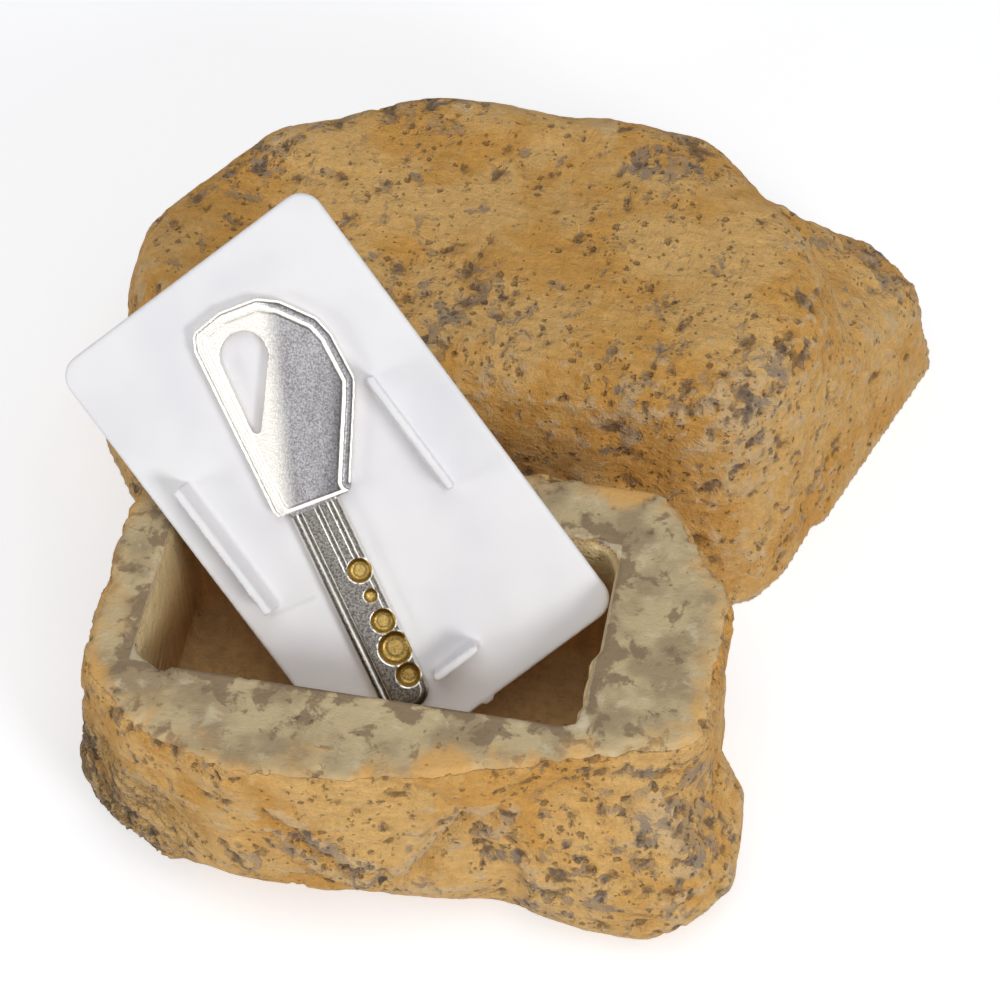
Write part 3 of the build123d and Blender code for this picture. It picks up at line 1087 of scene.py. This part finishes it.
class KEYROCK_OT_upper_stone(bpy.types.Operator):
    """Sculpt the half that caps the compartment"""

    bl_idname = "keyrock.upper_stone"
    bl_label = "Upper stone"

    def execute(self, context):
        settings = context.scene.key_rock_stone
        stone = copy_of("upper_stone", "upper_stone_cast")
        refine(stone, settings.upper_grain)
        points = stone.data.vertices
        for name in ("sanded", "hollow", "outer_edge", "mouth_edge", "stained", "fibrous"):
            keep_level(stone, name, [0.0] * len(points))
        free = [smooth_step(0, FOOT, v.co.z) for v in points]
        group = group_from(stone, "weathered", free)
        smooth(stone, UPPER_SMOOTHING, group)
        raise_by(stone, clouds("upper swells", UPPER_SWELLS, depth=1), settings.swell, group)
        raise_by(stone, clouds("upper lumps", UPPER_LUMPS, depth=3), settings.lumps, group)
        roughen(stone, lambda v: free[v.index] * upper_relief(v))
        press(stone, UPPER_BULGES)
        worn = store_weathering(stone, UPPER_WEAR, UPPER_WORN, UPPER_CHALK)

        def pitted(v):
            chance = 0.04 + 0.8 * worn[v.index] + 0.6 * near_any(v.co, UPPER_CHALK)
            return chance * free[v.index]

        sunk = sink_pits(stone, settings.pits, UPPER_PITS, settings.pit_depth, pitted, seed=23)
        keep_level(stone, "pits", sunk)
        stay_inside(stone, "upper_stone")
        set_down(stone, "upper_stone", "upper", stone_finish("upper cast", settings))
        return {"FINISHED"}


PLATE_THICKNESS = 1.6 * MM
# A thin grey line across the plate: its ends, down the plate's length and across it, in mm.
PLATE_GREY_LINE = [(8.3, -18.5), (10.1, -11.1)]


def plate_place(down, across):
    """A place on the plate's upper face, measured from its middle, in mm."""
    axes = (PLATE_LENGTH_WAY, PLATE_WIDTH_WAY, PLATE_NORMAL)
    middles = [sum(span("cover_plate", axis)) / 2 for axis in axes[:2]]
    place = PLATE_NORMAL * (span("cover_plate", PLATE_NORMAL)[0] + PLATE_THICKNESS)
    place += PLATE_LENGTH_WAY * (middles[0] + down * MM)
    return place + PLATE_WIDTH_WAY * (middles[1] + across * MM)


def grey_line_at(place, start, end):
    """How far a place lies on the plate's grey line: 1 along the line, fading beside it and at its
    ends.
    """
    way = (end - start).normalized()
    beside = (place - start).cross(way).length
    middle, reach = (start + end) / 2, (end - start).length / 2
    fade = 1 - smooth_step(0.8, 1.0, (place - middle).length / reach)
    return (1 - smooth_step(0.15 * MM, 0.5 * MM, beside)) * fade


class KEYROCK_OT_cover_plate(bpy.types.Operator):
    """Shape the white cover plate with its tabs"""

    bl_idname = "keyrock.cover_plate"
    bl_label = "Cover plate"

    def execute(self, context):
        settings = context.scene.key_rock_plate
        plate = copy_of("cover_plate", "cover_plate_moulding")
        refine(plate, settings.grain)
        smooth(plate, EDGE_ROUNDS)
        ends = [plate_place(*spot) for spot in PLATE_GREY_LINE]
        keep_level(plate, "crease", [grey_line_at(v.co, *ends) for v in plate.data.vertices])
        set_down(plate, "cover_plate", "cover", plate_finish(settings))
        return {"FINISHED"}


def in_hole(place, margin):
    """Whether a place lies in the key's teardrop hole, widened by a margin in mm."""
    (wide_middle, wide), (narrow_middle, narrow) = HOLE_ROUNDS
    start, end = Vector(wide_middle), Vector(narrow_middle)
    spot = Vector((place.dot(KEY_WAY) - SHOULDER, place.dot(KEY_ACROSS) - BLADE_MIDDLE)) / MM
    share = min(max((spot - start).dot(end - start) / (end - start).length_squared, 0.0), 1.0)
    return (spot - start.lerp(end, share)).length < wide + (narrow - wide) * share + margin


# The line from which the ridge over the blade is measured: its ends along and across the key.
BOW_FOOT = [(0.15, -5.6), (1.05, 5.6)]
BOW_FOOT_STEPS = 60


def key_place(along, across):
    """A place measured along the key from its shoulder and across it, in mm."""
    return KEY_WAY * (SHOULDER + along * MM) + KEY_ACROSS * (BLADE_MIDDLE + across * MM)


def in_plane(place):
    """A place seen flat along the plate's normal."""
    return place - PLATE_NORMAL * place.dot(PLATE_NORMAL)


# Lower than this under the key's face there are no dimples or grooves.
DIMPLES_END = 1.1 * MM
# The bow's walls count for its border up to this far from the shoulder.
BOW_WALLS_END = SHOULDER - 1.2 * MM
# The border is shaped up to this far from the shoulder, down to this far under the key's face.
BORDER_END, BORDER_DEPTH = SHOULDER - 0.4 * MM, 0.5 * MM


def on_outer_wall(v):
    """Whether a point lies on the key's outer edge, low enough to be below its dimples."""
    upright = abs(v.normal.dot(PLATE_NORMAL)) < 0.5
    low = v.co.dot(PLATE_NORMAL) < KEY_TOP - DIMPLES_END
    return upright and low and not in_hole(v.co, 0.6)


def border_height(gap):
    """The bow's height in mm by the distance from its outline: a channel between two ridges."""
    edge = -0.16 * (1 - smooth_step(0.0, 0.2, gap))
    channel = -0.12 * smooth_step(0.25, 0.4, gap) * (1 - smooth_step(0.95, 1.15, gap))
    panel = -0.25 * smooth_step(1.6, 1.85, gap)
    return edge + channel + panel


class KEYROCK_OT_key(bpy.types.Operator):
    """Shape the flat key with its raised border and dimples"""

    bl_idname = "keyrock.key"
    bl_label = "Key"

    def execute(self, context):
        settings = context.scene.key_rock_key
        key = copy_of("key", "key_blank")
        refine(key, settings.grain)
        smooth(key, EDGE_ROUNDS)
        walls = [in_plane(v.co) for v in key.data.vertices if on_outer_wall(v)]
        gaps = [1 - near for near in nearness(key, walls, GAP_REACH * MM, in_plane)]
        keep_level(key, "outline_gap", gaps)
        start, end = (in_plane(key_place(*spot)) for spot in BOW_FOOT)
        walls = [place for place in walls if place.dot(KEY_WAY) < BOW_WALLS_END]
        walls += [start.lerp(end, step / BOW_FOOT_STEPS) for step in range(BOW_FOOT_STEPS + 1)]
        gaps = [1 - near for near in nearness(key, walls, GAP_REACH * MM, in_plane)]
        keep_level(key, "bow_gap", gaps)
        for v, gap in zip(key.data.vertices, gaps):
            height = v.co.dot(PLATE_NORMAL) - KEY_TOP
            on_bow = v.co.dot(KEY_WAY) < BORDER_END
            if height > -BORDER_DEPTH and on_bow and not in_hole(v.co, 0.15):
                v.co += PLATE_NORMAL * (border_height(gap * GAP_REACH) * MM - height)
        key.data.update()
        set_down(key, "key", "key", key_finish(settings))
        return {"FINISHED"}


# ---- stage ----------------------------------------------------------------


# How much the floor glows to the camera and in reflections. It gives no light to the object.
FLOOR_GLOW = 0.43


def floor_finish(settings):
    """A plain pale floor that the camera sees as white, with the shadows kept."""
    f = Finish("pale floor")
    seen = f.node("LightPath", output="Is Camera Ray")
    mirrored = f.node("LightPath", output="Is Glossy Ray")
    through = f.node("LightPath", output="Is Transmission Ray")
    f.feed(f.shader.inputs["Emission Color"], (1.0, 1.0, 1.0))
    f.feed(f.shader.inputs["Emission Strength"], seen.most(mirrored).most(through) * FLOOR_GLOW)
    return f.done(base_color=settings.floor, roughness=0.9)


VIEW_MIDDLE = Vector((0.010994, 0.031595, 0.023))
# The soft lamps: name, place, width in metres and power in watts.
LAMPS = [
    ("left softbox", (-0.55, -0.60, 0.26), 0.22, 1.1),
    ("right softbox", (0.52, -0.52, 0.40), 0.22, 2.55),
    ("overhead", (0.10, -0.22, 1.00), 0.80, 3.1),
]
# The world's strength as light, and as the camera and polished metal see it.
WORLD_LIGHT, WORLD_SEEN = 0.34, 1.0
FLOOR_SIZE = 6.0
# The floor lies this far under the object, so that the two never share a face.
FLOOR_GAP = 0.05 * MM
# The width of the camera's sensor in mm, and the nearest that it sees in metres.
SENSOR_WIDTH, NEAREST = 36.0, 0.01


def add_light(name, source, size, power):
    """A soft square lamp at a place, turned to the middle of the view."""
    lamp = bpy.data.lights.new(name, "AREA")
    lamp.size = size
    lamp.energy = power
    holder = bpy.data.objects.new(name, lamp)
    bpy.context.scene.collection.objects.link(holder)
    holder.location = source
    holder.rotation_euler = (VIEW_MIDDLE - Vector(source)).to_track_quat("-Z", "Y").to_euler()


def add_world():
    """A white surround: plain light on the object, and a white backdrop to the camera."""
    world = bpy.data.worlds.new("studio")
    bpy.context.scene.world = world
    world.use_nodes = True
    nodes, links = world.node_tree.nodes, world.node_tree.links
    background = nodes["Background"]
    path = nodes.new("ShaderNodeLightPath")
    seen = nodes.new("ShaderNodeMath")
    seen.operation = "MAXIMUM"
    links.new(path.outputs["Is Camera Ray"], seen.inputs[0])
    links.new(path.outputs["Is Glossy Ray"], seen.inputs[1])
    scale = nodes.new("ShaderNodeMapRange")
    scale.inputs["To Min"].default_value = WORLD_LIGHT
    scale.inputs["To Max"].default_value = WORLD_SEEN
    links.new(seen.outputs["Value"], scale.inputs["Value"])
    links.new(scale.outputs["Result"], background.inputs["Strength"])
    background.inputs["Color"].default_value = (1, 1, 1, 1)


class KEYROCK_OT_stage(bpy.types.Operator):
    """Set up the floor, the soft light and the camera"""

    bl_idname = "keyrock.stage"
    bl_label = "Stage"

    def execute(self, context):
        settings = context.scene.key_rock_stage
        bpy.ops.object.select_all(action="DESELECT")
        bpy.ops.mesh.primitive_plane_add(size=FLOOR_SIZE, location=(0, 0, -FLOOR_GAP))
        floor = context.object
        floor.name = "floor"
        floor.data.materials.append(floor_finish(settings))
        for lamp in LAMPS:
            add_light(*lamp)
        add_world()
        self.add_camera(context, settings)
        context.scene.view_settings.view_transform = "Standard"
        return {"FINISHED"}

    def add_camera(self, context, settings):
        lens = bpy.data.cameras.new("photo camera")
        lens.lens = settings.lens
        lens.sensor_width = SENSOR_WIDTH
        lens.clip_start = NEAREST
        holder = bpy.data.objects.new("photo camera", lens)
        context.scene.collection.objects.link(holder)
        turn, rise = settings.azimuth, settings.elevation
        level = math.cos(rise)
        back = Vector((math.sin(turn) * level, -math.cos(turn) * level, math.sin(rise)))
        holder.location = VIEW_MIDDLE + back * settings.distance
        holder.rotation_euler = back.to_track_quat("Z", "Y").to_euler()
        context.scene.camera = holder


class KEYROCK_PT_panel(bpy.types.Panel):
    """The rock's pieces and sizes in the sidebar"""

    bl_idname = "KEYROCK_PT_panel"
    bl_label = "Key rock"
    bl_space_type = "VIEW_3D"
    bl_region_type = "UI"
    bl_category = "Key rock"

    def draw(self, context):
        for operator in PIECES:
            self.layout.operator(operator.bl_idname)
        for group in SETTINGS:
            box = self.layout.box()
            for name in SETTINGS[group].__annotations__:
                box.prop(getattr(context.scene, group), name)


SETTINGS = {
    "key_rock_stone": KeyRockStone,
    "key_rock_plate": KeyRockPlate,
    "key_rock_key": KeyRockKey,
    "key_rock_stage": KeyRockStage,
}
PIECES = [
    KEYROCK_OT_lower_stone,
    KEYROCK_OT_upper_stone,
    KEYROCK_OT_cover_plate,
    KEYROCK_OT_key,
    KEYROCK_OT_stage,
]
CLASSES = [*SETTINGS.values(), *PIECES, KEYROCK_PT_panel]


def register():
    for entry in CLASSES:
        bpy.utils.register_class(entry)
    for name, group in SETTINGS.items():
        setattr(bpy.types.Scene, name, bpy.props.PointerProperty(type=group))


def unregister():
    for name in SETTINGS:
        delattr(bpy.types.Scene, name)
    for entry in reversed(CLASSES):
        bpy.utils.unregister_class(entry)


def main():
    """Makes every piece."""
    register()
    bpy.ops.keyrock.lower_stone()
    bpy.ops.keyrock.upper_stone()
    bpy.ops.keyrock.cover_plate()
    bpy.ops.keyrock.key()
    bpy.ops.keyrock.stage()


if __name__ == "__main__":
    main()
